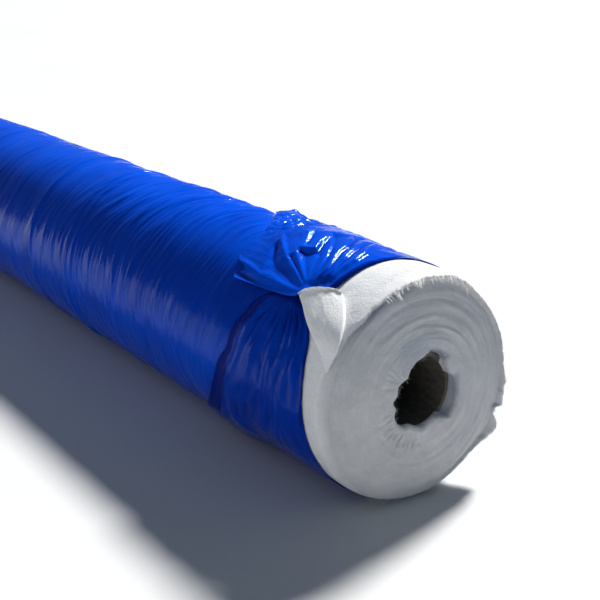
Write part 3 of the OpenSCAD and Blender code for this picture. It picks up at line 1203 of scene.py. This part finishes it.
def wrap_cuff():
    """The film's end turned back over itself: one strip round the roll, bunched where its ends meet."""
    T = np.concatenate(
        [
            np.linspace(40, 135, 150),
            np.linspace(135, 295, 66)[1:],
            np.linspace(295, 345, 62)[1:],
            np.linspace(345, 398, 165)[1:],
        ]
    )
    v = np.linspace(0, 1, 180)
    e, c = curve(T, NEAR_EDGE), curve(T, FREE_EDGE)
    c = c + 0.0030 * noise(T / 9, 0 * T, 301) + 0.0012 * noise(T / 2.2, 0 * T, 302)
    e = e + 0.0006 * noise(T / 6, 0 * T, 303)
    V, TT = v[:, None], T[None, :]
    S = e[None, :] + (c - e)[None, :] * V
    reach = curve(v, [(0, 4.6), (0.127, 6.3), (0.36, 7.3), (0.6, 8.0), (0.81, 8.4), (1, 8.7)])
    lean = reach[:, None] * smooth(355, 398, TT)
    A = TT + 4 * (1 - smooth(40, 70, TT)) * V + lean
    upper = smooth(292, 318, TT)  # 1 on the side above the bunched place

    # the side below it: it hugs the roll, with folds that draw together at the bunched place
    fan = curve(
        T,
        [
            (40, -0.130),
            (44, -0.146),
            (48, -0.168),
            (54, -0.190),
            (60, -0.204),
            (77, -0.220),
            (100, -0.258),
            (139, -0.366),
            (180, -0.405),
            (300, -0.438),
            (398, -0.30),
        ],
    )
    q = (S - e[None, :]) / (fan - e)[None, :]
    q = q + 0.035 * noise(A / 24, q * 3.5, 312)
    crest = np.array([-0.08, 0.03, 0.09, 0.22, 0.29, 0.44, 0.50, 0.63, 0.68, 0.78, 0.90, 1.05, 1.18, 1.4, 1.8, 2.6])
    k = np.clip(np.searchsorted(crest, q.ravel()).reshape(q.shape) - 1, 0, len(crest) - 2)
    part = np.clip((q - crest[k]) / (crest[k + 1] - crest[k]), 0, 1)
    tri = 0.5 - 0.5 * np.cos(np.pi * np.abs(2 * part - 1))

    def strength(i):
        return 0.15 + 1.05 * smooth(-0.5, 0.5, noise(A / 19, 0 * A + i * 3.37, 313))

    amp = strength(k) * (1 - part) + strength(k + 1) * part
    gap = (crest[k + 1] - crest[k]) * np.abs(fan - e)[None, :]
    deep = np.minimum(0.42 * gap, 0.0062)
    fine = ridges(noise(q * 17 + 2, A / 24, 314), 0.8)
    finer = ridges(noise(q * 55 + 7, A / 15, 315), 1.2)
    drawn = smooth(41, 52, A)
    below = smooth(108, 132, TT) * (1 - smooth(172, 205, TT))
    tight = smooth(0.62, 0.50, V) * below
    rolled = smooth(39, 46, TT) * (1 - smooth(112, 134, TT))
    inner = 1 - rolled * smooth(0.80, 0.95, V)
    # further down, the folds run out into loose uneven ones
    loose = smooth(50, 76, A)
    uneven = ridges(noise(q * 7.5 + 0.9 * noise(A / 30, q * 3, 316), A / 30, 317), 1.0) - 0.4
    uneven = 0.0032 * uneven + 0.0012 * noise(q * 15, A / 20, 318) + 0.00030 * noise(q * 44, A / 9, 319)
    H = -0.0010 + 0.0042 * smooth(0, 0.2, V) + 0 * TT
    H = H + (amp * deep * (tri - 0.45) * (1 - 0.85 * loose) + uneven * loose) * drawn * (1 - 0.8 * tight) * inner
    H = H + (0.0003 * fine + 0.0001 * finer) * drawn * (1 - 0.8 * tight) * inner
    H = H + 0.0011 * noise(S * 20, A / 12, 311)
    H = H * (1 - 0.7 * tight)
    H = H + below * 0.0052 * smooth(0.48, 0.66, V) * (1 - 0.8 * smooth(0.78, 1.0, V))
    # it swells towards its free edge, which rolls in again
    swell = curve(v, [(0, 0), (0.3, 0.0008), (0.6, 0.0030), (0.78, 0.0048), (0.85, 0.0046), (0.97, 0.0002), (1, 0.0006)])
    H = H + rolled * swell[:, None]
    H = relax(np.maximum(H, 0.0010 - 0.0024 * smooth(0.12, 0, V)), 3)

    # the side above it
    cols = np.nonzero(T > 288)[0]
    Su, Au = S[:, cols], A[:, cols] - 360
    Hu = relax(folded(Su, Au), 2)
    dx, dy = Su + 0.118, np.radians(Au - 38) * 0.160
    rho, phi = np.hypot(dx, dy), np.degrees(np.arctan2(dy, dx))
    phi = np.where(phi > 90, phi - 360, phi)
    thin = ridges(noise(phi / 5.0, rho * 14, 321), 2.0)
    Hu = Hu + 0.0003 * thin * smooth(0.015, 0.06, rho) * (1 - smooth(-0.092, -0.080, Su))
    n1, n2 = cells(Su * 52 + 0.5 * noise(Su * 30, Au / 9, 331), Au / 6.2, 332)
    across = ridges(noise(Su * 78 + 0.8 * noise(Su * 20, Au / 10, 334), Au / 15, 333), 1.2)
    crumple = smooth(-0.235, -0.285, Su) * (1 - smooth(8, 22, Au)) * smooth(-62, -34, Au)
    Hu = Hu + crumple * (0.0027 * (n2 - n1 - 0.25) + 0.0020 * (across - 0.4))
    back = ridges(noise(Su * 34 + 0.9 * noise(Su * 9, Au / 14, 336), Au / 24, 335), 1.3)
    Hu = Hu + 0.0022 * (back - 0.4) * smooth(-4, -24, Au) * (1 - smooth(-0.085, -0.070, Su))
    w = upper[:, cols]
    H[:, cols] = H[:, cols] * (1 - w) + np.maximum(Hu, 0.0012) * w

    # painted shade: a deeper blue in the valleys, in two pockets by the bunched place, along the skirt's rolled edge,
    # over the side below the bunched place, under the loose ear and down the turn at the opened end
    deep = 0.92 * smooth(0.0001, 0.0024, relax(H, 40) - H) * (0.5 + 0.5 * upper)
    for c, d, x, y, k in ((-0.100, 389, 0.017, 5, 0.6), (-0.183, 394.5, 0.030, 3.5, 0.5)):
        deep = np.maximum(deep, k * upper * np.exp(-(((S - c) / x) ** 2) - ((A - d) / y) ** 2))
    dark = curve(T, [(40, 0.68), (52, 0.78), (64, 0.83), (76, 0.87), (82, 0.87), (89, 0.82), (100, 0.82), (130, 0.79)])
    edge = rolled * smooth(dark, dark + 0.06, V)
    deep = deep + 0.60 * (1 - smooth(125, 185, TT)) + 0.9 * edge
    deep = np.maximum(deep, 0.9 * smooth(52, 44, A) * (1 - upper))
    deep = np.maximum(deep, 0.9 * smooth(0.034, 0.010, V) * smooth(0, 20, np.abs(TT - 219) - 105))
    R = R_FILM + H
    # the turn at the opened end stands up off the felt, and the film runs back under it
    S0 = e[None, :] + np.array([-0.050, -0.036, -0.022, -0.012, -0.005, -0.0015])[:, None]
    A0 = A[:1] + 0 * S0
    R0 = np.maximum(R_FILM - 0.0016, R_FELT + felt_bulge(S0, A0) + 0.0005)
    f = np.array([0.12, 0.4, 0.7, 0.92])[:, None]
    S1 = e[None, :] + 0.0012 * np.sin(np.pi * (0.15 + 0.8 * f))
    R1 = R0[-1:] + (R[:1] - R0[-1:]) * f
    A1 = A[:1] + 0 * S1
    s_all = np.concatenate([S0, S1, S])
    r_all = np.concatenate([R0, R1, R])
    a_all = np.concatenate([A0, A1, A])
    P = place(s_all, a_all, r_all)
    P[..., 2] = np.maximum(P[..., 2], 0.0003)
    across = np.concatenate([S0, S1, 2 * e[None, :] - S])
    flat = np.stack([across, np.radians(a_all) * 0.158, 0 * across + 0.3], -1)
    front = np.concatenate([S0, S1])
    deep = np.concatenate([0 * front + deep[:1], deep])
    return make(
        "film_cuff",
        P,
        grid_faces(*s_all.shape, flip=True),
        FILM,
        flat,
        deep=np.clip(deep, 0, 1),
        dull=np.concatenate([0 * front, edge + 0 * S]),
    )


# ---------------------------------------------------------------- the object

felt = felt_roll()
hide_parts("geotextile_roll")
corner = felt_corner()
fuzz = fibres()
film = wrap_film()
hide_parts("wrap_film")
cuff = wrap_cuff()
for piece, slot in (
    (felt, "felt"),
    (corner, "felt"),
    (fuzz, "felt"),
    (film, "film"),
    (cuff, "film"),
):
    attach(piece, "root")
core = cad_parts["core_tube"]
core.data.materials.clear()
core.data.materials.append(BOARD)

# ---------------------------------------------------------------- floor, light, camera


def stage():
    k = Nodes("floor_pale")
    b = k.shader
    b.inputs["Roughness"].default_value = 0.8
    tone = k.noise(k.object(0.6), 2, 0.5)
    k.link(
        k.ramp(tone, [(0.3, (0.545, 0.55, 0.555)), (0.7, (0.57, 0.57, 0.57))]),
        b.inputs["Base Color"],
    )
    w = 30.0
    floor = make(
        "floor",
        [(-w, -w, 0), (w, -w, 0), (w, w, 0), (-w, w, 0)],
        [(0, 1, 2, 3)],
        k.mat,
    )
    world = bpy.data.worlds.new("studio")
    world.use_nodes = True
    bg = world.node_tree.nodes["Background"]
    bg.inputs["Color"].default_value = (0.50, 0.70, 1.0, 1)
    bg.inputs["Strength"].default_value = 0.16
    bpy.context.scene.world = world
    lamp = bpy.data.lights.new("key", "SUN")
    lamp.energy = 7.0
    lamp.angle = math.radians(9)
    lamp.color = (1.0, 0.985, 0.96)
    o = bpy.data.objects.new("key", lamp)
    to = Vector((0.28, -0.64, -0.71)).normalized()
    o.rotation_mode = "QUATERNION"
    o.rotation_quaternion = to.to_track_quat("-Z", "Y")
    bpy.context.scene.collection.objects.link(o)
    lamp = bpy.data.lights.new("fill", "SUN")
    lamp.energy = 0.43
    lamp.angle = math.radians(80)
    o = bpy.data.objects.new("fill", lamp)
    o.rotation_mode = "QUATERNION"
    o.rotation_quaternion = Vector((0.0, 0.90, -0.43)).to_track_quat("-Z", "Y")
    bpy.context.scene.collection.objects.link(o)

    cam = bpy.data.cameras.new("camera")
    cam.sensor_width = 36
    cam.lens = 1133.8 * 36 / 600
    co = bpy.data.objects.new("camera", cam)
    co.location = (XN + 1.05366, -0.91642, ZC + 0.57441)
    ahead = Vector((-0.783378, 0.540754, -0.306439))
    co.rotation_mode = "QUATERNION"
    co.rotation_quaternion = ahead.to_track_quat("-Z", "Y")
    bpy.context.scene.collection.objects.link(co)
    bpy.context.scene.camera = co
    bpy.context.scene.view_settings.view_transform = "Standard"


stage()
